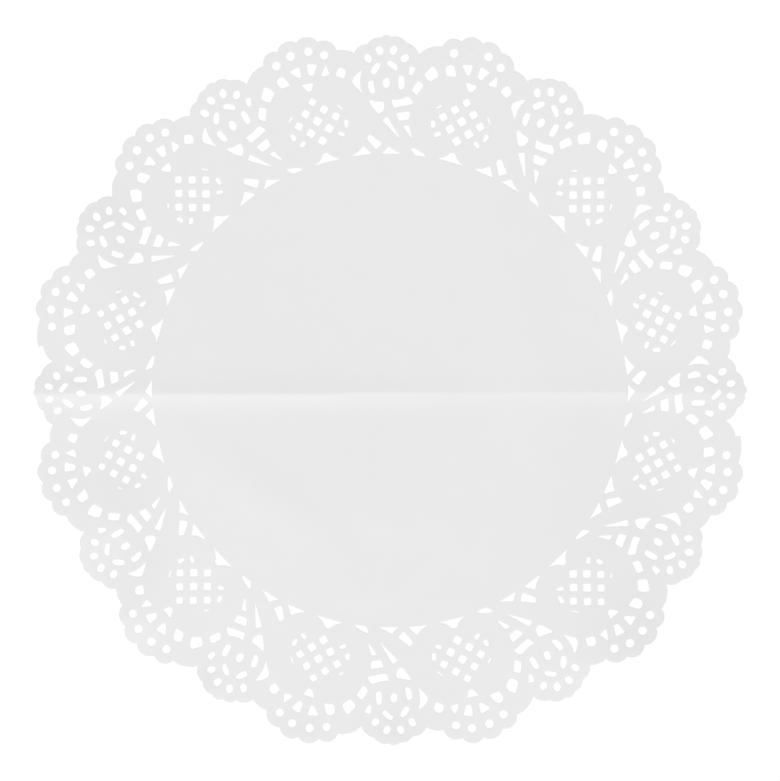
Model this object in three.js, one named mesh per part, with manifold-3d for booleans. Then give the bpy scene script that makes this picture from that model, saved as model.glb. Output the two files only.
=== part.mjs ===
// Round paper doily, 12 inches across: one die-cut sheet with a plain centre and a lace border.
// It lies flat on z = 0, with its packet fold along X. Lengths are millimetres, angles degrees.
import * as THREE from "three";
import { mergeVertices } from "three/addons/utils/BufferGeometryUtils.js";
import Module from "manifold-3d";

// Driving dimensions
const SHEET = 1;              // thickness of the solid that stands for the paper
const REPEATS = 12;           // the border repeats every 30 degrees, clockwise from the top
const BLANK_HALF = 165;       // half the side of the square blank, past the widest lobe
const CUT_LOW = -1;           // the die's blades pass below the sheet
const CUT_HIGH = 4;           // and above the top of the fold
const HOLE_CORNERS = 8;       // corners of a round punched hole
const LOBE_STEPS = 3;         // straight steps along one lobe of the edge
const SIDE_STEPS = 2;         // and along the side of a window, where it swells

// How the fold runs across the sheet: its line wanders, and it is sharper at the left
const FOLD_STATIONS = [
  { x: -BLANK_HALF, y: -0.6, height: 1.0 },
  { x: -60, y: -0.7, height: 1.1 },
  { x: 8, y: -0.8, height: 0.9 },
  { x: 22, y: -1.2, height: 0.7 },
  { x: BLANK_HALF, y: -1.3, height: 0.6 },
];
// Section across the fold: share of its height at each distance from its line
const FOLD_SECTION = [
  { off: -11, share: 0 },
  { off: -4, share: 0.35 },
  { off: 0, share: 1 },
  { off: 3.5, share: 0.35 },
  { off: 9, share: 0 },
];

// The edge of one repeat, from rosette to shell. Each row is the notch where a lobe starts,
// in the upright view of the repeat (x to the right, y outwards), and how far the lobe crowns.
const NOTCHES = [
  { lobe: "rosette side, first", x: -14.8, y: 142.1, crown: 1.0 },
  { lobe: "rosette shoulder, first", x: -9.2, y: 145.9, crown: 0.9 },
  { lobe: "rosette top, first", x: -3.6, y: 148.6, crown: 1.0 },
  { lobe: "rosette top, second", x: 1.0, y: 148.8, crown: 1.3 },
  { lobe: "rosette side, second", x: 7.0, y: 146.4, crown: 1.2 },
  { lobe: "low shoulder", x: 12.5, y: 141.9, crown: 1.4 },
  { lobe: "shell, first", x: 22.4, y: 144.9, crown: 2.3 },
  { lobe: "shell, second", x: 30.4, y: 147.0, crown: 2.4 },
  { lobe: "shell, third", x: 39.2, y: 146.3, crown: 2.3 },
  { lobe: "shell, fourth", x: 47.1, y: 142.2, crown: 2.1 },
  { lobe: "end shoulder", x: 52.5, y: 135.3, crown: 0.9 },
];
// Two repeats missed the shoulder's trim: there the edge steps out square, and runs on flush
// with the shell's first lobe. These rows stand in for the low shoulder and that lobe.
const SQUARE_REPEATS = [3, 9];
const SQUARE_NOTCHES = [
  { lobe: "short shoulder", x: 12.5, y: 141.9, crown: 1.0 },
  { lobe: "square step", x: 19.2, y: 145.8, crown: 0 },
  { lobe: "untrimmed edge", x: 18.8, y: 147.8, crown: 0.9 },
];

// Windows cut through one repeat. A window has a foot and a head edge, joined along an axis:
// x and y give its middle, turn its axis clockwise from outwards, long its length, foot and
// head the widths of its ends, footCut and headCut how far these are cut out of square.
// left, right, tip and heel are how far its sides, head and foot swell out, or in if negative.
const WINDOWS = [
  // Petals of the rosette
  { name: "right petal", x: 5.0, y: 129.9, turn: -1, long: 5.8, foot: 2.0, head: 1.8, left: 0.3, right: 0.4 },
  { name: "upper petal", x: 1.3, y: 137.0, turn: -48, long: 5.0, foot: 1.5, head: 1.6, right: 0.6 },
  { name: "side petal", x: -5.7, y: 135.6, turn: 28, long: 4.9, foot: 2.0, head: 1.5, left: 0.6, right: 0.4 },
  { name: "left petal", x: -7.3, y: 128.0, turn: -13, long: 5.4, foot: 1.3, head: 2.1, left: 0.7 },
  // Windows of the stalks under the rosette
  { name: "wide", x: 5.0, y: 121.8, turn: 79, long: 7.1, foot: 3.4, head: 4.0, footCut: -6, headCut: -27,
    left: -0.6, tip: 0.5 },
  { name: "trapezoid", x: 6.0, y: 115.6, turn: -6, long: 3.4, foot: 3.9, head: 5.5 },
  { name: "sliver", x: 1.7, y: 110.4, turn: -40, long: 10.4, foot: 0.3, head: 2.7 },
  { name: "big triangle", x: -6.1, y: 120.6, turn: 122, long: 5.8, foot: 0.5, head: 5.4, headCut: -12,
    left: -0.3, right: 0.3, tip: 1.6 },
  { name: "crescent", x: -13.7, y: 129.9, turn: 94, long: 4.2, foot: 1.2, head: 9.0, footCut: -4,
    headCut: -10, left: 0.4, tip: -0.9 },
  // Fan around the shell
  { name: "rectangle", x: 11.95, y: 127.5, turn: 35, long: 4.7, foot: 2.7, head: 2.8, footCut: 12, headCut: 6,
    left: 0.3 },
  { name: "pentagon", x: 17.65, y: 133.1, turn: 51, long: 4.6, foot: 4.1, head: 5.2, footCut: 2, headCut: 11,
    tip: 0.5, heel: 0.3 },
  { name: "round trapezoid", x: 25.7, y: 134.2, turn: -12, long: 3.9, foot: 4.0, head: 3.7, footCut: 18,
    headCut: -3, tip: 1.1 },
  { name: "fan triangle", x: 33.05, y: 134.9, turn: -6, long: 4.5, foot: 0.8, head: 4.2, headCut: 7 },
  { name: "fan parallelogram", x: 39.0, y: 133.2, turn: 31, long: 4.5, foot: 1.9, head: 4.4, footCut: 6 },
  { name: "square", x: 49.25, y: 125.9, turn: 50, long: 3.5, foot: 3.8, head: 3.5, headCut: 10,
    left: 0.3, tip: 0.4 },
  { name: "small triangle", x: 34.4, y: 127.5, turn: 9, long: 3.2, foot: 1.6, head: 5.0, headCut: 10 },
  // Border along the plain centre
  { name: "parallelogram", x: -6.6, y: 105.0, turn: -48, long: 6.3, foot: 3.6, head: 2.3, headCut: -18 },
  { name: "low triangle", x: 0.15, y: 101.35, turn: -24, long: 3.1, foot: 7.6, head: 0.6, footCut: 24 },
  { name: "kite", x: 12.3, y: 99.95, turn: 110, long: 5.9, foot: 3.6, head: 0.4, footCut: -47, left: 0.5 },
  { name: "shell foot", x: 26.2, y: 98.5, turn: 13, long: 4.0, foot: 10.8, head: 1.8, footCut: 4,
    left: -0.5, right: -0.5 },
  { name: "corner triangle", x: 39.4, y: 93.0, turn: 98, long: 6.6, foot: 0.5, head: 4.9, headCut: -24,
    left: -0.5 },
];

// Round holes punched along the shell's rim
const RIM_HOLES = [
  { name: "rim first", x: 27.1, y: 142.1, across: 3.6 },
  { name: "rim second", x: 34.3, y: 142.5, across: 3.5 },
  { name: "rim third", x: 41.7, y: 140.6, across: 3.6 },
  { name: "rim fourth", x: 46.8, y: 136.0, across: 3.6 },
];
// The die left one hole closed
const CLOSED_HOLE = { repeat: 0, name: "rim second" };

const wasm = await Module();
wasm.setup();

const radians = THREE.MathUtils.degToRad;

// Unit vector at a clockwise angle from outwards (+Y)
function heading(angle) {
  return new THREE.Vector2(Math.sin(radians(angle)), Math.cos(radians(angle)));
}

// Point beside a middle, along a heading
function along(middle, direction, distance) {
  return middle.clone().addScaledVector(direction, distance);
}

// Points from start towards end along a circular arc, without the end itself.
// The arc rises to the left of the way by the swell.
function arc(start, end, swell, steps) {
  if (swell === 0) {
    return [start.clone()];
  }
  const way = end.clone().sub(start);
  const leftwards = new THREE.Vector2(-way.y, way.x).normalize();
  const half = way.length() / 2;
  const radius = (half * half + swell * swell) / (2 * swell);
  const centre = start.clone().addScaledVector(way, 0.5).addScaledVector(leftwards, swell - radius);
  const sweep = -4 * Math.atan(swell / half);
  const points = [];
  for (let step = 0; step < steps; step++) {
    points.push(start.clone().rotateAround(centre, sweep * step / steps));
  }
  return points;
}

// Corner points of one window, clockwise
function windowOutline(cut) {
  const { turn, long, foot, head, footCut = 0, headCut = 0, left = 0, right = 0, tip = 0, heel = 0 } = cut;
  const middle = new THREE.Vector2(cut.x, cut.y);
  const axis = heading(turn);
  const footWay = heading(turn + 90 + footCut);
  const headWay = heading(turn + 90 + headCut);
  const footMiddle = along(middle, axis, -long / 2);
  const headMiddle = along(middle, axis, long / 2);
  const footLeft = along(footMiddle, footWay, -foot / 2);
  const footRight = along(footMiddle, footWay, foot / 2);
  const headLeft = along(headMiddle, headWay, -head / 2);
  const headRight = along(headMiddle, headWay, head / 2);
  return [
    ...arc(footLeft, headLeft, left, SIDE_STEPS),
    ...arc(headLeft, headRight, tip, SIDE_STEPS),
    ...arc(headRight, footRight, right, SIDE_STEPS),
    ...arc(footRight, footLeft, heel, SIDE_STEPS),
  ];
}

// Corner points of a round hole
function holeOutline(hole) {
  const middle = new THREE.Vector2(hole.x, hole.y);
  const points = [];
  for (let corner = 0; corner < HOLE_CORNERS; corner++) {
    points.push(along(middle, heading((corner + 0.5) * 360 / HOLE_CORNERS), hole.across / 2));
  }
  return points;
}

// Turns points of the upright repeat to their place in the border
function place(points, repeat) {
  const turned = -radians(repeat * 360 / REPEATS);
  const centre = new THREE.Vector2(0, 0);
  return points.map((point) => point.clone().rotateAround(centre, turned));
}

// The notches of one repeat, with the square step where the trim was missed
function notchesOf(repeat) {
  if (!SQUARE_REPEATS.includes(repeat)) {
    return NOTCHES;
  }
  const row = (lobe) => NOTCHES.findIndex((notch) => notch.lobe === lobe);
  const before = NOTCHES.slice(0, row("low shoulder"));
  const after = NOTCHES.slice(row("shell, second"));
  return [...before, ...SQUARE_NOTCHES, ...after];
}

// The scalloped edge of the whole sheet, clockwise
function edgeOutline() {
  const starts = [];
  for (let repeat = 0; repeat < REPEATS; repeat++) {
    for (const notch of notchesOf(repeat)) {
      const [point] = place([new THREE.Vector2(notch.x, notch.y)], repeat);
      starts.push({ point, crown: notch.crown });
    }
  }
  return starts.flatMap(({ point, crown }, index) => {
    const next = starts[(index + 1) % starts.length].point;
    return arc(point, next, crown, LOBE_STEPS);
  });
}

// Upright blade of the die that cuts a flat outline
function blade(points) {
  const options = { depth: CUT_HIGH - CUT_LOW, bevelEnabled: false };
  const geometry = new THREE.ExtrudeGeometry(new THREE.Shape(points), options);
  geometry.translate(0, 0, CUT_LOW);
  return solidOf(geometry);
}

// Closed solid that can be joined and cut, from a mesh with its like points merged
function solidOf(geometry) {
  const bare = geometry.clone();
  bare.deleteAttribute("normal");
  bare.deleteAttribute("uv");
  const merged = mergeVertices(bare);
  return new wasm.Manifold(new wasm.Mesh({
    numProp: 3,
    vertProperties: new Float32Array(merged.attributes.position.array),
    triVerts: new Uint32Array(merged.index.array),
  }));
}

// Mesh of a finished solid, with flat faces
function geometryOf(solid) {
  const mesh = solid.getMesh();
  const geometry = new THREE.BufferGeometry();
  geometry.setAttribute("position", new THREE.BufferAttribute(mesh.vertProperties, mesh.numProp));
  geometry.setIndex(new THREE.BufferAttribute(mesh.triVerts, 1));
  const flat = geometry.toNonIndexed();
  flat.computeVertexNormals();
  return flat;
}

// Square blank with the fold raised across it: a grid of stations and section rows,
// once for the underside and once for the top
function foldedBlank() {
  const rows = [{ edge: -BLANK_HALF, share: 0 }, ...FOLD_SECTION, { edge: BLANK_HALF, share: 0 }];
  const columns = FOLD_STATIONS.length;
  const layer = rows.length * columns;
  const positions = [];
  for (const lift of [0, SHEET]) {
    for (const row of rows) {
      for (const station of FOLD_STATIONS) {
        const y = row.edge ?? station.y + row.off;
        positions.push(station.x, y, lift + row.share * station.height);
      }
    }
  }
  const faces = [];
  const quad = (a, b, c, d) => faces.push(a, b, c, a, c, d);
  for (let row = 0; row + 1 < rows.length; row++) {
    for (let column = 0; column + 1 < columns; column++) {
      const under = row * columns + column;
      const over = under + layer;
      quad(over, over + 1, over + columns + 1, over + columns);
      quad(under, under + columns, under + columns + 1, under + 1);
    }
    const left = row * columns;
    const right = left + columns - 1;
    quad(left, left + layer, left + layer + columns, left + columns);
    quad(right, right + columns, right + columns + layer, right + layer);
  }
  for (let column = 0; column + 1 < columns; column++) {
    const near = column;
    const far = (rows.length - 1) * columns + column;
    quad(near, near + 1, near + 1 + layer, near + layer);
    quad(far, far + layer, far + 1 + layer, far + 1);
  }
  const geometry = new THREE.BufferGeometry();
  geometry.setAttribute("position", new THREE.Float32BufferAttribute(positions, 3));
  geometry.setIndex(faces);
  return solidOf(geometry);
}

// Whether this hole is the one left closed
function isClosed(repeat, hole) {
  return repeat === CLOSED_HOLE.repeat && hole.name === CLOSED_HOLE.name;
}

// The whole sheet: the folded blank trimmed to its edge, then punched repeat by repeat
function doilySheet() {
  let sheet = foldedBlank().intersect(blade(edgeOutline()));
  for (let repeat = 0; repeat < REPEATS; repeat++) {
    const outlines = WINDOWS.map(windowOutline);
    for (const hole of RIM_HOLES) {
      if (!isClosed(repeat, hole)) {
        outlines.push(holeOutline(hole));
      }
    }
    for (const outline of outlines) {
      sheet = sheet.subtract(blade(place(outline, repeat)));
    }
  }
  return geometryOf(sheet);
}

const paper = new THREE.MeshStandardMaterial({ color: 0xeaeae8, roughness: 0.8, metalness: 0 });
const doily = new THREE.Mesh(doilySheet(), paper);
doily.name = "doily";

const part = new THREE.Group();
part.add(doily);

export default part;
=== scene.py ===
"""Round paper doily, 12 inches across: one die-cut sheet that lies flat, with a plain centre,
a lace border of rosettes and shells, and the soft fold of its packet along X.

The tables are in millimetres and degrees. Those of the border give one repeat in its upright
view: x to the right, y outwards, angles clockwise from outwards. The model is in metres.
"""
import math
import random
from collections import defaultdict
from typing import NamedTuple

import bpy
import numpy as np
from bpy.props import FloatProperty, FloatVectorProperty, IntProperty, PointerProperty
from mathutils import Matrix, Vector
from mathutils.geometry import delaunay_2d_cdt


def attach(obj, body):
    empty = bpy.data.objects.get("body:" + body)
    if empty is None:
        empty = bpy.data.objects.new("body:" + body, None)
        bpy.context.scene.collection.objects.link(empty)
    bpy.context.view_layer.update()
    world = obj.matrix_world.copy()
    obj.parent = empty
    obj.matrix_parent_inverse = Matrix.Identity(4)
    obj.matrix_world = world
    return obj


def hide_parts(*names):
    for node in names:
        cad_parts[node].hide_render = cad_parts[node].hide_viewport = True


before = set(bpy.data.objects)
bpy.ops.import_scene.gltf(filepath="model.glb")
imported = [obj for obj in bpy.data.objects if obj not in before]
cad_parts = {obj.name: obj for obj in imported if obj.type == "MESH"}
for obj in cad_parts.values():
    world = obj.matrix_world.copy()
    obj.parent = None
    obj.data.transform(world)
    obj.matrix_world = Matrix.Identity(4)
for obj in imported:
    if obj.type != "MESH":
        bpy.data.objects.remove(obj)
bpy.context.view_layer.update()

bl_info = {
    "name": "Paper Doily",
    "version": (1, 0, 0),
    "blender": (4, 5, 0),
    "location": "3D View > Sidebar > Doily",
    "description": "Cuts a round paper doily with a lace border and sets it on a pale table",
    "category": "Object",
}

MM = 0.001
REPEATS = 12                # the border repeats every 30 degrees, clockwise from the top
IMAGE_PIXELS = (780, 781)   # width and height of the picture
MM_PER_PIXEL = 0.422        # on the table, straight under the camera
MIDDLE_PIXEL = (389.955, 390.585)   # where the sheet's middle shows, from the picture's corner
CREEP_BAND = 10             # across the fold, where the creep of one half turns into the other's
CREST_REACH = 6             # from the fold to where the creep of its crest has fallen to a third
DEEP_CUT_BEARING = 42       # of the side of the sheet where the die cut deepest
SIZE_WANDER = 0.02          # share of its size that a window may be larger or smaller

# Outlines
CURVE_STEPS = 4             # least steps of a curved side
HOLE_CORNERS = 12           # least corners of a hole
CORNER_SHARE = 0.42         # most of a side that the rounding at one of its ends takes
CORNER_ROOM = 1.4           # least place of a side's next point, in lengths of that rounding
CORNER_POINTS = (0.25, 0.5, 0.75)   # places of the points along the rounding


class Window(NamedTuple):
    """Window with a foot and a head edge, joined along an axis. x and y give its middle, turn
    its axis, long its length, foot and head the widths of its ends, foot_cut and head_cut how
    far these are cut out of square. left, right, tip and heel are how far its sides, head and
    foot swell out, or in if negative."""
    name: str
    x: float
    y: float
    turn: float
    long: float
    foot: float
    head: float
    foot_cut: float = 0
    head_cut: float = 0
    left: float = 0
    right: float = 0
    tip: float = 0
    heel: float = 0


class Hole(NamedTuple):
    """Oval hole. turn is the bearing of its long axis."""
    name: str
    x: float
    y: float
    long: float
    wide: float
    turn: float = 0


class Notch(NamedTuple):
    """Point of the edge where a lobe starts, and how far that lobe crowns."""
    lobe: str
    x: float
    y: float
    crown: float


class NetSquare(NamedTuple):
    """One square of the net: its row and column from the middle, and its width."""
    row: int
    column: int
    wide: float


class Creep(NamedTuple):
    """How one part of the sheet has crept and grown in the plane. x and y are its shift at the
    sheet's middle. The others are how much that changes over 100 mm of x or y."""
    part: str
    x: float
    y: float
    x_by_x: float
    x_by_y: float = 0
    y_by_x: float = 0
    y_by_y: float = 0


class FoldStation(NamedTuple):
    """Where the fold's line runs at one place across the sheet, and how high it stands."""
    x: float
    y: float
    height: float


class FoldRow(NamedTuple):
    """Place in the fold's section: how far it is above the fold's line in the plane, and the
    share of the fold's height that the paper has there."""
    off: float
    share: float


class Swell(NamedTuple):
    """Place where the paper stands a little off the table. x and y give its crest in the whole
    sheet, bearing the way that ahead is measured; ahead, behind and aside are how far from the
    crest it has fallen to a third."""
    name: str
    x: float
    y: float
    bearing: float
    ahead: float
    behind: float
    aside: float
    height: float


WINDOWS = (
    # Petals of the rosette
    Window("right petal", 5.0, 129.8, -1, long=5.8, foot=1.9, head=1.75, left=0.3, right=0.4),
    Window("upper petal", 1.25, 136.9, -52, long=5.3, foot=1.6, head=1.7, right=0.6),
    Window("side petal", -5.7, 135.6, 35, long=5.3, foot=1.8, head=1.35, left=0.6, right=0.4),
    Window("left petal", -7.3, 127.85, -13, long=5.5, foot=1.5, head=2.1, left=0.7),
    Window("shoulder wedge", 9.4, 134.65, 18, long=3.6, foot=1.65, head=2.75),
    # Windows of the stalks under the rosette
    Window("wide", 4.95, 121.75, 79, long=7.5, foot=3.4, head=4.0, foot_cut=-6, head_cut=-27,
           left=-0.6, tip=0.5),
    Window("trapezoid", 5.95, 115.65, -8, long=3.35, foot=4.3, head=5.95),
    Window("sliver", 1.1, 110.7, -38, long=10.2, foot=0.25, head=2.7),
    Window("small wedge", 8.2, 109.15, -25, long=5.4, foot=0.35, head=2.55, head_cut=22),
    Window("big triangle", -6.0, 120.65, 123, long=5.6, foot=0.6, head=5.4, head_cut=-12,
           left=-0.35, right=0.3, tip=1.4),
    Window("crescent", -13.5, 130.1, 92, long=4.2, foot=1.4, head=9.9, foot_cut=-2,
           head_cut=-3, left=0.4, tip=-0.9),
    # Fan around the shell
    Window("rectangle", 11.95, 127.5, 35, long=5.15, foot=2.95, head=3.0, foot_cut=12,
           head_cut=6, left=0.3),
    Window("pentagon", 17.65, 133.2, 51, long=4.6, foot=4.1, head=5.2, foot_cut=2,
           head_cut=11, tip=0.5, heel=0.3),
    Window("round trapezoid", 25.75, 134.2, -12, long=3.8, foot=4.2, head=3.95, foot_cut=18,
           head_cut=-3, tip=1.1),
    Window("fan triangle", 33.05, 135.0, -6, long=4.35, foot=1.2, head=4.75, head_cut=7),
    Window("fan parallelogram", 39.15, 133.25, 34, long=4.7, foot=2.1, head=4.25, foot_cut=6),
    Window("small fan triangle", 43.4, 129.4, 72, long=3.7, foot=0.9, head=4.4, head_cut=23),
    Window("square", 49.3, 125.8, 50, long=3.5, foot=3.8, head=3.5, head_cut=10, left=0.3,
           tip=0.4),
    Window("small triangle", 34.35, 127.5, 9, long=3.25, foot=1.65, head=5.15, head_cut=10),
    # Border along the plain centre
    Window("parallelogram", -6.65, 105.05, -48, long=6.4, foot=3.7, head=2.35, head_cut=-18),
    Window("low triangle", 0.15, 101.3, -24, long=3.0, foot=8.8, head=0.8, foot_cut=24, left=-0.25,
           right=-0.25),
    Window("kite", 12.4, 100.0, 110, long=5.8, foot=3.5, head=0.4, foot_cut=-47, left=0.5),
    Window("shell foot", 26.2, 98.4, 13, long=3.95, foot=11.9, head=1.8, foot_cut=3, left=-0.7,
           right=-0.7),
    Window("corner triangle", 39.5, 93.05, 98, long=6.7, foot=0.5, head=5.05, head_cut=-24,
           left=-0.5),
)
HOLES = (
    # Eye of the rosette, and the holes of its outer lobes
    Hole("eye", -1.35, 129.65, long=4.3, wide=3.05, turn=5),
    Hole("rosette first", -9.0, 139.95, long=3.95, wide=2.95, turn=-30),
    Hole("rosette second", -4.1, 143.15, long=3.95, wide=3.1, turn=-25),
    Hole("rosette third", 1.75, 143.2, long=4.05, wide=3.1, turn=22),
    Hole("rosette fourth", 6.5, 139.95, long=3.8, wide=3.0, turn=50),
    # Punched along the shell's rim
    Hole("rim first", 27.15, 142.05, long=3.7, wide=3.7),
    Hole("rim second", 34.3, 142.5, long=3.75, wide=3.75),
    Hole("rim third", 41.7, 140.5, long=3.7, wide=3.7),
    Hole("rim fourth", 46.8, 136.0, long=3.6, wide=3.6),
)
# In one repeat the die left a hole closed: it only pressed and nicked the paper there
CLOSED_REPEAT = 0
CLOSED_HOLE = "rim second"
PRESSED_HEIGHT = 0.04       # how far the pressed paper crowns
NICK_ROUND = 0.03           # length that a nick's corners are rounded over
NICKS = (
    Window("first nick", 33.25, 141.15, 0, long=0.55, foot=0.09, head=0.07),
    Window("second nick", 34.4, 140.8, 80, long=0.6, foot=0.07, head=0.09),
)

# Net in the middle of the shell: a square of three by three, with columns that lean a little,
# and what its round frame leaves of the squares around it
NET_X = 30.45
NET_Y = 113.35
ROW_BEARING = 59            # of the way from one row to the next
COLUMN_BEARING = -29        # and from one column to the next
NET_PITCH = 5.79
NET_SQUARES = (
    NetSquare(-1, -1, wide=3.25),
    NetSquare(-1, 0, wide=3.25),
    NetSquare(-1, 1, wide=3.05),
    NetSquare(0, -1, wide=3.3),
    NetSquare(0, 0, wide=3.3),
    NetSquare(0, 1, wide=3.05),
    NetSquare(1, -1, wide=3.0),
    NetSquare(1, 0, wide=3.1),
    NetSquare(1, 1, wide=2.85),
)
NET_EDGES = (
    Window("net left", 18.15, 112.4, 0, long=3.0, foot=1.7, head=1.4, right=0.4),
    Window("net lower left", 20.1, 108.05, 70, long=2.6, foot=1.5, head=2.0, tip=0.3),
    Window("net foot", 36.6, 103.8, -40, long=2.8, foot=1.5, head=1.7, heel=0.3),
    Window("net lower right", 40.4, 106.3, 28, long=3.1, foot=1.2, head=2.1, tip=0.3),
    Window("net right", 41.75, 113.75, -18, long=3.1, foot=0.5, head=0.75),
    Window("net upper left", 20.9, 119.5, 60, long=2.4, foot=0.6, head=0.9),
)

NOTCHES = (
    Notch("rosette side, first", -14.9, 142.1, crown=1.1),
    Notch("rosette shoulder, first", -9.2, 145.9, crown=0.95),
    Notch("rosette top, first", -3.6, 148.6, crown=1.0),
    Notch("rosette top, second", 1.0, 148.9, crown=1.15),
    Notch("rosette side, second", 7.1, 146.5, crown=1.1),
    Notch("low shoulder", 12.4, 141.6, crown=1.3),
    Notch("shell, first", 22.4, 144.9, crown=2.3),
    Notch("shell, second", 30.4, 147.0, crown=2.3),
    Notch("shell, third", 39.2, 146.3, crown=2.3),
    Notch("shell, fourth", 47.1, 142.2, crown=2.1),
    Notch("end shoulder", 52.4, 135.1, crown=0.7),
)
# Two repeats missed the shoulder's trim: there the edge steps out square, and runs on flush
# with the shell's first lobe. These rows stand in for the low shoulder and that lobe.
SQUARE_REPEATS = (3, 9)
SQUARE_NOTCHES = (
    Notch("short shoulder", 12.4, 141.6, crown=0.9),
    Notch("square step", 19.2, 145.8, crown=0),
    Notch("untrimmed edge", 18.8, 147.8, crown=0.9),
)

# The fold has drawn its two halves together, and the paper has grown unevenly, most of all in
# the fold's crest
BELOW_FOLD = Creep("below", -0.1, 0.1, x_by_x=-0.02, x_by_y=-0.37, y_by_x=-0.22, y_by_y=0.05)
ABOVE_FOLD = Creep("above", -0.15, -0.8, x_by_x=0.25, x_by_y=-0.06, y_by_x=-0.27, y_by_y=0.7)
CREST = Creep("crest", 0.2, 0, x_by_x=0.42)

# The fold's line wanders, and it is sharper at the left
FOLD_STATIONS = (
    FoldStation(-150, -1, height=0.4),
    FoldStation(-118, -1.2, height=0.5),
    FoldStation(-90, -1.3, height=0.48),
    FoldStation(-25, -1.4, height=0.48),
    FoldStation(-17, -0.9, height=0.4),
    FoldStation(-5, -0.7, height=0.42),
    FoldStation(10, -0.9, height=0.34),
    FoldStation(42, -1, height=0.2),
    FoldStation(55, -0.7, height=0.22),
    FoldStation(90, -0.65, height=0.34),
    FoldStation(115, -0.8, height=0.26),
    FoldStation(150, -0.9, height=0.08),
)
# Its section is an even face under the line and a dull one over it, and it runs out softly
FOLD_SECTION = (
    FoldRow(-11, 0),
    FoldRow(-8.5, 0.04),
    FoldRow(-6.5, 0.14),
    FoldRow(-4.6, 0.29),
    FoldRow(-3.6, 0.4),
    FoldRow(-2.3, 0.61),
    FoldRow(-1.1, 0.82),
    FoldRow(-0.45, 0.96),
    FoldRow(0, 1),
    FoldRow(0.5, 0.97),
    FoldRow(2.3, 0.86),
    FoldRow(4.2, 0.67),
    FoldRow(6.5, 0.48),
    FoldRow(11, 0.28),
    FoldRow(25, 0.08),
    FoldRow(45, 0),
)

# Where the sheet doesn't lie quite flat
SWELLS = (
    Swell("lower half", -20, -1, bearing=180, ahead=110, behind=260, aside=80, height=1.2),
    Swell("lower right", 95, -112, bearing=180, ahead=60, behind=75, aside=42, height=2.0),
    Swell("lower right rim", 100, -121, bearing=180, ahead=40, behind=21, aside=16, height=1.6),
    Swell("lower right band", 102, -85, bearing=180, ahead=40, behind=35, aside=8, height=0.4),
    Swell("left rosettes", -122, 5, bearing=0, ahead=55, behind=150, aside=20, height=1.8),
    Swell("upper left rosette", -121, 65, bearing=-10, ahead=12, behind=40, aside=13, height=0.6),
    Swell("upper left", -80, 5, bearing=-20, ahead=110, behind=200, aside=45, height=1.0),
    Swell("left rim", -132, -60, bearing=0, ahead=28, behind=60, aside=18, height=1.3),
    Swell("lower left rosette", -115, -57, bearing=180, ahead=12, behind=20, aside=9, height=0.3),
    Swell("lower left rim", -107, -95, bearing=200, ahead=12, behind=30, aside=12, height=0.6),
    Swell("long inner ridge", -54, -43, bearing=36, ahead=8, behind=11, aside=30, height=0.27),
    Swell("short inner ridge", -4, -53, bearing=199, ahead=9, behind=30, aside=20, height=0.2),
    Swell("foot of the centre", -10, -84, bearing=180, ahead=7, behind=30, aside=16, height=0.15),
    Swell("right of the centre", 57, 20, bearing=0, ahead=60, behind=40, aside=14, height=0.7),
    Swell("lower left lobe", -77, -128, bearing=190, ahead=6, behind=7, aside=5, height=0.4),
    Swell("bottom left lobes", -40, -147, bearing=188, ahead=6, behind=7, aside=9, height=0.35),
    Swell("bottom rosette", 2, -149, bearing=180, ahead=6, behind=7, aside=9, height=0.35),
    Swell("left end of the fold", -140, -3, bearing=0, ahead=9, behind=60, aside=20, height=0.35),
    Swell("right end of the fold", 138, -4, bearing=0, ahead=9, behind=60, aside=18, height=0.45),
)

# Where the points of the mesh lie
FOLD_PITCH = 2.5            # along the fold, in each row of its section
PRESSED_RINGS = (0.3, 0.65, 1)      # shares of the closed hole
SECOND_RING = 2.6           # distance of the looser ring from an outline, in edge widths
SECOND_STEP = 2             # that ring has a point beside each second one of the outline
ROW_CLEARANCE = 0.4         # between such points and an outline
GRID_CLEARANCE = 0.45       # share of the grid's pitch, between its points and all others
SAME_POINT = 1e-5           # points nearer to each other than this are one
CUT_ANGLE = 40              # faces that meet at more than this have a sharp edge between them

# Finish
CLOUD_SCALE = 90            # clouds in the paper, for each metre
FIBRE_SCALE = 1800          # and its fibres
PAPER_GLOSS = 0.35          # mirror light of the paper, where a usual surface has 0.5
TABLE_GLOSS = 0.2           # and of the table

# Sockets of a node that mixes two colours
MIX_SHARE = 0
MIX_FIRST = 6
MIX_SECOND = 7
MIX_RESULT = 2

# Stage
TABLE_GAP = 0.05            # between the table and the sheet
SENSOR = 36                 # width of the camera's picture, in millimetres as its lens
KEY_BEARING = 188           # of the main light: at the sheet's lower side, a little to the left
KEY_RISE = 30               # and its angle above the table


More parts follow.
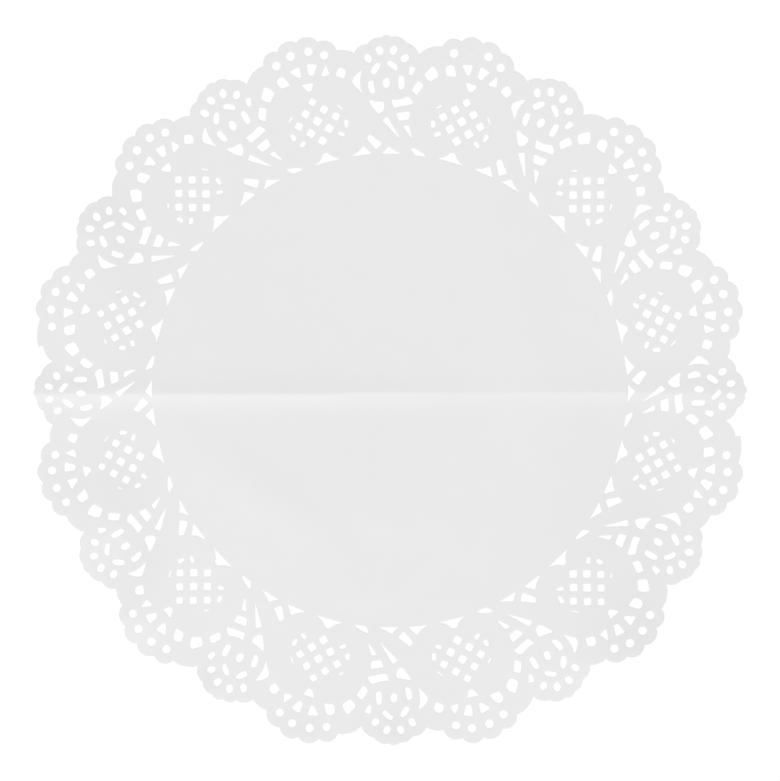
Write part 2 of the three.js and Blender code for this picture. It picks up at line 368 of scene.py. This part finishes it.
class DoilySheetSettings(bpy.types.PropertyGroup):
    """Sizes of the paper and of the forms in it"""
    thickness: FloatProperty(
        name="Thickness", description="Thickness of the paper",
        default=0.16 * MM, min=0.05 * MM, max=1 * MM, precision=5, unit="LENGTH")
    corner_round: FloatProperty(
        name="Corner Round", description="Length that each corner of a window is rounded over",
        default=0.75 * MM, min=0, max=2 * MM, precision=5, unit="LENGTH")
    notch_round: FloatProperty(
        name="Notch Round", description="Length that the notches of the edge are rounded over",
        default=0.3 * MM, min=0, max=1 * MM, precision=5, unit="LENGTH")
    edge_width: FloatProperty(
        name="Edge Width", description="Width of the punched edge that is pressed thinner",
        default=0.3 * MM, min=0.1 * MM, max=1 * MM, precision=5, unit="LENGTH")
    edge_share: FloatProperty(
        name="Edge Thickness", description="Share of the thickness that is left at the edge",
        default=0.8, min=0.1, max=1, subtype="FACTOR")
    outline_pitch: FloatProperty(
        name="Outline Pitch", description="Distance between the points of an outline",
        default=0.9 * MM, min=0.3 * MM, max=3 * MM, precision=5, unit="LENGTH")
    grid_pitch: FloatProperty(
        name="Grid Pitch", description="Distance between the points inside the sheet",
        default=3.0 * MM, min=1 * MM, max=10 * MM, precision=5, unit="LENGTH")
    punch_wander: FloatProperty(
        name="Punch Wander", description="How far a window may lie from its place in the pattern",
        default=0.08 * MM, min=0, max=0.5 * MM, precision=5, unit="LENGTH")
    closing: FloatProperty(
        name="Closing", description="How far the fibres along a cut reach into the window",
        default=0.07 * MM, min=0, max=0.3 * MM, precision=5, unit="LENGTH")
    closing_tilt: FloatProperty(
        name="Closing Tilt", description="How much less far on the side where the die cut deepest",
        default=0.05 * MM, min=0, max=0.3 * MM, precision=5, unit="LENGTH")
    fold_share: FloatProperty(
        name="Fold", description="Share of the fold's height that is left after it is opened",
        default=1, min=0, max=2, subtype="FACTOR")
    swell_share: FloatProperty(
        name="Swells", description="Share of the height of the places that stand off the table",
        default=1, min=0, max=3, subtype="FACTOR")
    seed: IntProperty(
        name="Seed", description="Seed of the small unevenness of the punching", default=12)


class DoilyPaperSettings(bpy.types.PropertyGroup):
    """Finish of the paper"""
    colour: FloatVectorProperty(
        name="Paper", description="Colour of the paper",
        default=(0.768, 0.768, 0.768), min=0, max=1, size=3, subtype="COLOR")
    cloud_colour: FloatVectorProperty(
        name="Cloudy Paper", description="Colour where the paper's fibres lie thinner",
        default=(0.748, 0.748, 0.748), min=0, max=1, size=3, subtype="COLOR")
    roughness: FloatProperty(
        name="Roughness", description="Roughness of the uncoated surface",
        default=0.78, min=0, max=1, subtype="FACTOR")
    fibre_height: FloatProperty(
        name="Fibre Height", description="Height of the fibres in the surface",
        default=0.012 * MM, min=0, max=0.1 * MM, precision=6, unit="LENGTH")


class DoilyStageSettings(bpy.types.PropertyGroup):
    """Table, light and camera"""
    table_colour: FloatVectorProperty(
        name="Table", description="Colour of the milky table top, without its glow",
        default=(0.05, 0.05, 0.05), min=0, max=1, size=3, subtype="COLOR")
    table_size: FloatProperty(
        name="Table Size", description="Length of each side of the table",
        default=8, min=1, max=20, unit="LENGTH")
    table_glow: FloatProperty(
        name="Table Glow", description="Even white light that comes up through the table top",
        default=0.965, min=0, max=2)
    sky_strength: FloatProperty(
        name="Surrounding Light", description="Strength of the even light from all around",
        default=0.62, min=0, max=10)
    key_strength: FloatProperty(
        name="Main Light", description="Strength of the broad light from the sheet's lower side",
        default=2.9, min=0, max=20)
    key_angle: FloatProperty(
        name="Main Light Angle", description="How wide the main light is, seen from the sheet",
        default=math.radians(26), min=0, max=math.pi, subtype="ANGLE")
    lens: FloatProperty(
        name="Lens", description="Focal length of the camera",
        default=200, min=20, max=500, unit="CAMERA")


# Outlines in the plane, in millimetres

def heading(bearing):
    """Unit vector at a clockwise angle from outwards."""
    angle = math.radians(bearing)
    return Vector((math.sin(angle), math.cos(angle)))


def arc(start, end, swell, pitch):
    """Points from start to end, both included, on an arc that swells to the left of the way."""
    way = end - start
    steps = max(1, math.ceil(way.length / pitch))
    if swell == 0:
        return [start.lerp(end, step / steps) for step in range(steps + 1)]
    steps = max(steps, CURVE_STEPS)
    leftwards = Vector((-way.y, way.x)).normalized()
    half = way.length / 2
    radius = (half * half + swell * swell) / (2 * swell)
    centre = start + way / 2 + leftwards * (swell - radius)
    sweep = -4 * math.atan(swell / half)
    spoke = start - centre
    return [centre + Matrix.Rotation(sweep * step / steps, 2) @ spoke for step in range(steps + 1)]


def shortened(path, cut):
    """The path with that length taken off both of its ends."""
    marks = np.cumsum([0] + [(b - a).length for a, b in zip(path, path[1:])])
    total = marks[-1]
    room = CORNER_ROOM * cut
    inner = [mark for mark in marks if room < mark < total - room]
    kept = [cut, *inner, total - cut]
    xs = np.interp(kept, marks, [point.x for point in path])
    ys = np.interp(kept, marks, [point.y for point in path])
    return [Vector(point) for point in zip(xs, ys)]


def rounded(sides, rounding):
    """Closed outline of these sides, which meet end to start, with each corner rounded."""
    cuts = []
    for side in sides:
        length = sum((b - a).length for a, b in zip(side, side[1:]))
        cuts.append(min(rounding, CORNER_SHARE * length))
    short = [shortened(side, cut) for side, cut in zip(sides, cuts)]
    outline = []
    for side, here, there in zip(sides, short, short[1:] + short[:1]):
        outline += here
        corner = side[-1]
        for share in CORNER_POINTS:
            a = here[-1].lerp(corner, share)
            b = corner.lerp(there[0], share)
            outline.append(a.lerp(b, share))
    return outline


def window_outline(window, rounding, pitch):
    """Outline of a window, clockwise, with its corners rounded."""
    middle = Vector((window.x, window.y))
    half_axis = heading(window.turn) * window.long / 2
    half_foot = heading(window.turn + 90 + window.foot_cut) * window.foot / 2
    half_head = heading(window.turn + 90 + window.head_cut) * window.head / 2
    foot_left = middle - half_axis - half_foot
    foot_right = middle - half_axis + half_foot
    head_left = middle + half_axis - half_head
    head_right = middle + half_axis + half_head
    return rounded([
        arc(foot_left, head_left, window.left, pitch),
        arc(head_left, head_right, window.tip, pitch),
        arc(head_right, foot_right, window.right, pitch),
        arc(foot_right, foot_left, window.heel, pitch),
    ], rounding)


def hole_outline(hole, pitch):
    """Outline of an oval hole, clockwise."""
    middle = Vector((hole.x, hole.y))
    lengthwise = heading(hole.turn) * hole.long / 2
    across = heading(hole.turn + 90) * hole.wide / 2
    corners = max(HOLE_CORNERS, round(math.pi * hole.long / pitch))
    angles = [math.tau * corner / corners for corner in range(corners)]
    return [middle + lengthwise * math.cos(a) + across * math.sin(a) for a in angles]


def shift_of(creep, point):
    """How far that creep takes the point."""
    x = creep.x + (creep.x_by_x * point.x + creep.x_by_y * point.y) / 100
    y = creep.y + (creep.y_by_x * point.x + creep.y_by_y * point.y) / 100
    return Vector((x, y))


def crept(point):
    """The point where the creep of its half takes it, or near the fold that of all parts."""
    share = min(1, max(0, 0.5 + point.y / CREEP_BAND))
    crest_share = math.exp(-(point.y / CREST_REACH) ** 2)
    shift = shift_of(BELOW_FOLD, point).lerp(shift_of(ABOVE_FOLD, point), share)
    return point + shift + shift_of(CREST, point) * crest_share


def placed(points, repeat):
    """Points of the upright repeat, turned to their place in the border of the used sheet."""
    turn = Matrix.Rotation(-math.tau * repeat / REPEATS, 2)
    return [crept(turn @ point) for point in points]


def wandered(points, wander, closing, chance):
    """The outline moved a little off its place, and closed up by the fibres along its cut."""
    middle = sum(points, Vector((0, 0))) / len(points)
    shift = Vector((chance.uniform(-wander, wander), chance.uniform(-wander, wander)))
    reach = sum((point - middle).length for point in points) / len(points)
    size = 1 + chance.uniform(-SIZE_WANDER, SIZE_WANDER) - closing / reach
    return [middle + shift + (point - middle) * size for point in points]


def beside(outline, distance, step=1):
    """Points beside a closed outline, one for each step of its own, to the left of its way if
    the distance is above zero."""
    points = []
    for before, point, after in zip(outline[-1:] + outline[:-1], outline, outline[1:] + outline[:1]):
        way = (after - before).normalized()
        points.append(point + Vector((-way.y, way.x)) * distance)
    return points[::step]


# The lace border

def net_windows():
    """Windows of the net in the middle of one shell."""
    next_row = heading(ROW_BEARING) * NET_PITCH
    next_column = heading(COLUMN_BEARING) * NET_PITCH
    windows = []
    for square in NET_SQUARES:
        middle = Vector((NET_X, NET_Y)) + next_row * square.row + next_column * square.column
        windows.append(Window("net square", middle.x, middle.y, ROW_BEARING,
                              long=square.wide, foot=square.wide, head=square.wide))
    return [*windows, *NET_EDGES]


def repeat_outlines(repeat, sheet, chance):
    """Outlines of all the windows and holes of one repeat, in their place."""
    pitch = sheet.outline_pitch / MM
    outlines = [window_outline(window, sheet.corner_round / MM, pitch)
                for window in [*WINDOWS, *net_windows()]]
    outlines += [hole_outline(hole, pitch) for hole in HOLES
                 if repeat != CLOSED_REPEAT or hole.name != CLOSED_HOLE]
    side = math.cos(math.tau * repeat / REPEATS - math.radians(DEEP_CUT_BEARING))
    closing = (sheet.closing - sheet.closing_tilt * side) / MM
    outlines = [wandered(outline, sheet.punch_wander / MM, closing, chance)
                for outline in outlines]
    if repeat == CLOSED_REPEAT:
        outlines += [window_outline(nick, NICK_ROUND, pitch) for nick in NICKS]
    return [placed(outline, repeat) for outline in outlines]


def notches_of(repeat):
    """The notches of one repeat, with the square step where the trim was missed."""
    if repeat not in SQUARE_REPEATS:
        return NOTCHES
    lobes = [notch.lobe for notch in NOTCHES]
    before = NOTCHES[:lobes.index("low shoulder")]
    after = NOTCHES[lobes.index("shell, second"):]
    return (*before, *SQUARE_NOTCHES, *after)


def edge_outline(sheet):
    """The scalloped edge of the whole sheet, clockwise."""
    pitch = sheet.outline_pitch / MM
    starts = []
    crowns = []
    for repeat in range(REPEATS):
        for notch in notches_of(repeat):
            starts += placed([Vector((notch.x, notch.y))], repeat)
            crowns.append(notch.crown)
    ends = starts[1:] + starts[:1]
    lobes = [arc(start, end, crown, pitch) for start, end, crown in zip(starts, ends, crowns)]
    return rounded(lobes, sheet.notch_round / MM)


# How the paper lies

def fold_line(x):
    """Where the fold runs, and how high it stands there."""
    places = [station.x for station in FOLD_STATIONS]
    line = np.interp(x, places, [station.y for station in FOLD_STATIONS])
    height = np.interp(x, places, [station.height for station in FOLD_STATIONS])
    return line, height


def fold_height(x, y):
    """Height of the fold, by the distance from its line."""
    line, height = fold_line(x)
    offs = [row.off for row in FOLD_SECTION]
    return height * np.interp(y - line, offs, [row.share for row in FOLD_SECTION])


def swell_height(x, y, swell):
    """Height of one soft swell."""
    ahead = heading(swell.bearing)
    aside = heading(swell.bearing + 90)
    forward = (x - swell.x) * ahead.x + (y - swell.y) * ahead.y
    sideways = (x - swell.x) * aside.x + (y - swell.y) * aside.y
    reach = np.where(forward > 0, swell.ahead, swell.behind)
    return swell.height * np.exp(-(forward / reach) ** 2 - (sideways / swell.aside) ** 2)


def closed_hole():
    """The hole that the die left closed in one repeat."""
    return next(hole for hole in HOLES if hole.name == CLOSED_HOLE)


def pressed_height(x, y):
    """Height of the paper that the die pressed at the closed hole without cutting it out."""
    hole = closed_hole()
    [middle] = placed([Vector((hole.x, hole.y))], CLOSED_REPEAT)
    share = np.hypot(x - middle.x, y - middle.y) / (hole.wide / 2)
    return PRESSED_HEIGHT * np.clip(1 - share ** 2, 0, 1)


def lie_height(points, sheet):
    """Height of the paper's underside above the table at these points."""
    x, y = points.T
    height = sheet.fold_share * fold_height(x, y) + pressed_height(x, y)
    for swell in SWELLS:
        height += sheet.swell_share * swell_height(x, y, swell)
    return height


# The sheet's mesh

def ring_points(outlines, distance, step=1):
    """Points of the paper at this distance from its edge and from each window."""
    edge, *windows = outlines
    points = beside(edge, -distance, step)
    for window in windows:
        points += beside(window, distance, step)
    return points


def fold_points(reach):
    """Points of the fold: its section again and again along its line."""
    points = []
    for x in np.arange(-reach, reach, FOLD_PITCH):
        line, _ = fold_line(x)
        points += [Vector((x, float(line) + row.off)) for row in FOLD_SECTION]
    return points


def pressed_points(sheet):
    """Points of the closed hole, in ovals inside each other."""
    hole = closed_hole()
    points = []
    for share in PRESSED_RINGS:
        ring = hole._replace(long=hole.long * share, wide=hole.wide * share)
        points += placed(hole_outline(ring, sheet.outline_pitch / MM), CLOSED_REPEAT)
    return points


def grid_points(reach, pitch):
    """Even grid of triangles over a square that holds the whole sheet."""
    points = []
    for row, y in enumerate(np.arange(-reach, reach, pitch * math.sqrt(3) / 2)):
        start = -reach + pitch / 2 * (row % 2)
        points += [Vector((x, y)) for x in np.arange(start, reach, pitch)]
    return points


def clear_of(taken, points, distance):
    """Those of the points that keep this distance from every point taken and from each other."""
    cells = defaultdict(list)
    for point in taken:
        cells[point.x // distance, point.y // distance].append(point)
    chosen = []
    for point in points:
        column = point.x // distance
        row = point.y // distance
        near = [other for x in (column - 1, column, column + 1)
                for y in (row - 1, row, row + 1) for other in cells[x, y]]
        if all((point - other).length >= distance for other in near):
            cells[column, row].append(point)
            chosen.append(point)
    return chosen


def spread_points(outlines, sheet):
    """All points off the outlines: a ring beside each one and a looser one further in, those
    of the fold and of the closed hole, and the grid in between."""
    width = sheet.edge_width / MM
    pitch = sheet.grid_pitch / MM
    reach = max(point.length for point in outlines[0])
    inner = ring_points(outlines, width)
    taken = [point for outline in outlines for point in outline] + inner
    loose = fold_points(reach) + pressed_points(sheet)
    loose += ring_points(outlines, width * SECOND_RING, SECOND_STEP)
    chosen = clear_of(taken, loose, ROW_CLEARANCE)
    grid = clear_of(taken + chosen, grid_points(reach, pitch), pitch * GRID_CLEARANCE)
    return inner + chosen + grid


def triangulated(outlines, loose):
    """Points and triangles of the paper inside the first outline and outside all others."""
    points = []
    faces = []
    for outline in outlines:
        points += outline
        faces.append(list(range(len(points) - 1, len(points) - len(outline) - 1, -1)))
    points += loose
    inside_faces = 1
    found, _, triangles, _, _, sources = delaunay_2d_cdt(
        points, [], faces, inside_faces, SAME_POINT)
    paper = [triangle for triangle, source in zip(triangles, sources) if source == [0]]
    used = sorted({index for triangle in paper for index in triangle})
    number = {old: new for new, old in enumerate(used)}
    flat = np.array([found[index] for index in used])
    return flat, [[number[index] for index in triangle] for triangle in paper]


def rim_edges(triangles):
    """Edges that only one triangle has, each with the paper to its left."""
    sides = {(a, b) for triangle in triangles
             for a, b in zip(triangle, triangle[1:] + triangle[:1])}
    return sorted((a, b) for a, b in sides if (b, a) not in sides)


def sheet_mesh(name, flat, triangles, sheet):
    """Closed mesh of the paper: its underside, its top, and the wall around every cut."""
    rim = rim_edges(triangles)
    thickness = sheet.thickness / MM
    pressed = np.zeros(len(flat))
    pressed[[a for a, _ in rim]] = thickness * (1 - sheet.edge_share) / 2
    under = lie_height(flat, sheet) + pressed
    over = under + thickness - 2 * pressed
    points = np.vstack([np.column_stack([flat, under]), np.column_stack([flat, over])])
    up = len(flat)
    faces = [[index + up for index in triangle] for triangle in triangles]
    faces += [triangle[::-1] for triangle in triangles]
    faces += [[a, b, b + up, a + up] for a, b in rim]
    mesh = bpy.data.meshes.new(name)
    mesh.from_pydata((points * MM).tolist(), [], faces)
    mesh.shade_smooth()
    mesh.set_sharp_from_angle(angle=math.radians(CUT_ANGLE))
    return mesh


# Materials

def add_node(material, kind, **settings):
    """A new node of the material, with its properties and its unlinked sockets set."""
    node = material.node_tree.nodes.new(kind)
    for key, value in settings.items():
        if key in node.inputs:
            node.inputs[key].default_value = value
        else:
            setattr(node, key, value)
    return node


def paper_material(paper):
    """Matt white paper: faintly cloudy in colour, with short fibres in its surface."""
    material = bpy.data.materials.new("White paper")
    material.use_nodes = True
    material.node_tree.nodes.clear()
    link = material.node_tree.links.new
    place = add_node(material, "ShaderNodeTexCoord")
    clouds = add_node(material, "ShaderNodeTexNoise", Scale=CLOUD_SCALE, Detail=4.0, Roughness=0.55)
    link(place.outputs["Object"], clouds.inputs["Vector"])
    tint = add_node(material, "ShaderNodeMix", data_type="RGBA")
    tint.inputs[MIX_FIRST].default_value = (*paper.cloud_colour, 1)
    tint.inputs[MIX_SECOND].default_value = (*paper.colour, 1)
    link(clouds.outputs["Fac"], tint.inputs[MIX_SHARE])
    fibres = add_node(material, "ShaderNodeTexNoise", Scale=FIBRE_SCALE, Detail=6.0, Roughness=0.6,
                      Distortion=0.8)
    link(place.outputs["Object"], fibres.inputs["Vector"])
    raised = add_node(material, "ShaderNodeBump", Strength=1.0, Distance=paper.fibre_height)
    link(fibres.outputs["Fac"], raised.inputs["Height"])
    shader = add_node(material, "ShaderNodeBsdfPrincipled", Roughness=paper.roughness)
    shader.inputs["Specular IOR Level"].default_value = PAPER_GLOSS
    link(tint.outputs[MIX_RESULT], shader.inputs["Base Color"])
    link(raised.outputs["Normal"], shader.inputs["Normal"])
    output = add_node(material, "ShaderNodeOutputMaterial")
    link(shader.outputs["BSDF"], output.inputs["Surface"])
    return material


def table_material(stage):
    """Plain pale table, faintly lit through so that it stays white next to the paper."""
    material = bpy.data.materials.new("Pale table")
    material.use_nodes = True
    material.node_tree.nodes.clear()
    shader = add_node(material, "ShaderNodeBsdfPrincipled", Roughness=0.9)
    shader.inputs["Base Color"].default_value = (*stage.table_colour, 1)
    shader.inputs["Specular IOR Level"].default_value = TABLE_GLOSS
    shader.inputs["Emission Color"].default_value = (1, 1, 1, 1)
    shader.inputs["Emission Strength"].default_value = stage.table_glow
    output = add_node(material, "ShaderNodeOutputMaterial")
    material.node_tree.links.new(shader.outputs["BSDF"], output.inputs["Surface"])
    return material


def linked(name, data):
    """A new object of the scene."""
    new = bpy.data.objects.new(name, data)
    bpy.context.scene.collection.objects.link(new)
    return new


# Stage

def lay_table(stage):
    """Flat pale table just under the sheet."""
    half = stage.table_size / 2
    corners = [(-half, -half), (half, -half), (half, half), (-half, half)]
    mesh = bpy.data.meshes.new("table")
    mesh.from_pydata([(x, y, -TABLE_GAP * MM) for x, y in corners], [], [(0, 1, 2, 3)])
    mesh.materials.append(table_material(stage))
    linked("table", mesh)


def light_sky(stage):
    """Even light from all around."""
    world = bpy.data.worlds.new("Studio")
    world.use_nodes = True
    background = world.node_tree.nodes["Background"]
    background.inputs["Color"].default_value = (1, 1, 1, 1)
    background.inputs["Strength"].default_value = stage.sky_strength
    bpy.context.scene.world = world


def hang_key_light(stage):
    """Broad light that comes in low over the sheet's lower side."""
    light = bpy.data.lights.new("Main light", "SUN")
    light.angle = stage.key_angle
    light.energy = stage.key_strength
    lamp = linked("Main light", light)
    ahead = heading(KEY_BEARING).to_3d() * math.cos(math.radians(KEY_RISE))
    lamp.location = ahead + Vector((0, 0, math.sin(math.radians(KEY_RISE))))
    lamp.rotation_euler = lamp.location.to_track_quat("Z", "Y").to_euler()


def set_camera(stage):
    """Camera straight above, framed as the picture is."""
    data = bpy.data.cameras.new("Camera")
    data.lens = stage.lens
    data.sensor_width = SENSOR
    width, height = IMAGE_PIXELS
    camera = linked("Camera", data)
    right = (width / 2 - MIDDLE_PIXEL[0]) * MM_PER_PIXEL * MM
    down = (height / 2 - MIDDLE_PIXEL[1]) * MM_PER_PIXEL * MM
    view = max(width, height) * MM_PER_PIXEL * MM
    camera.location = (right, -down, view * stage.lens / SENSOR)
    data.clip_start = camera.location.z / 100
    data.clip_end = stage.table_size * 2
    bpy.context.scene.camera = camera


# Operators, panel and registration

class DOILY_OT_cut_sheet(bpy.types.Operator):
    """Cut the paper sheet: its scalloped edge, its lace border, and the fold across it"""
    bl_idname = "doily.cut_sheet"
    bl_label = "Cut Paper Sheet"
    bl_options = {"REGISTER", "UNDO"}

    def execute(self, context):
        sheet = context.scene.doily_sheet
        chance = random.Random(sheet.seed)
        outlines = [edge_outline(sheet)]
        for repeat in range(REPEATS):
            outlines += repeat_outlines(repeat, sheet, chance)
        flat, triangles = triangulated(outlines, spread_points(outlines, sheet))
        mesh = sheet_mesh("doily_sheet", flat, triangles, sheet)
        mesh.materials.append(paper_material(context.scene.doily_paper))
        piece = linked("doily_sheet", mesh)
        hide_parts("doily")
        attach(piece, "root")
        return {"FINISHED"}


class DOILY_OT_set_stage(bpy.types.Operator):
    """Set the pale table, the soft light and the camera straight above"""
    bl_idname = "doily.set_stage"
    bl_label = "Set Stage"
    bl_options = {"REGISTER", "UNDO"}

    def execute(self, context):
        stage = context.scene.doily_stage
        lay_table(stage)
        light_sky(stage)
        hang_key_light(stage)
        set_camera(stage)
        context.scene.view_settings.view_transform = "Standard"
        return {"FINISHED"}


class DOILY_PT_sidebar(bpy.types.Panel):
    """Steps and sizes of the paper doily"""
    bl_idname = "DOILY_PT_sidebar"
    bl_label = "Paper Doily"
    bl_space_type = "VIEW_3D"
    bl_region_type = "UI"
    bl_category = "Doily"

    def draw(self, context):
        for operator, groups in STEPS:
            box = self.layout.box()
            box.operator(operator.bl_idname)
            for group in groups:
                settings = getattr(context.scene, group)
                for size in settings.__annotations__:
                    box.prop(settings, size)


# Each operator with the groups of settings that it reads
STEPS = (
    (DOILY_OT_set_stage, ("doily_stage",)),
    (DOILY_OT_cut_sheet, ("doily_sheet", "doily_paper")),
)
SETTINGS = {
    "doily_sheet": DoilySheetSettings,
    "doily_paper": DoilyPaperSettings,
    "doily_stage": DoilyStageSettings,
}
CLASSES = (*SETTINGS.values(), DOILY_OT_cut_sheet, DOILY_OT_set_stage, DOILY_PT_sidebar)


def register():
    for new_class in CLASSES:
        bpy.utils.register_class(new_class)
    for name, group in SETTINGS.items():
        setattr(bpy.types.Scene, name, PointerProperty(type=group))


def unregister():
    for name in SETTINGS:
        delattr(bpy.types.Scene, name)
    for old_class in reversed(CLASSES):
        bpy.utils.unregister_class(old_class)


def main():
    """Make the stage and the doily."""
    register()
    bpy.ops.doily.set_stage()
    bpy.ops.doily.cut_sheet()


if __name__ == "__main__":
    main()
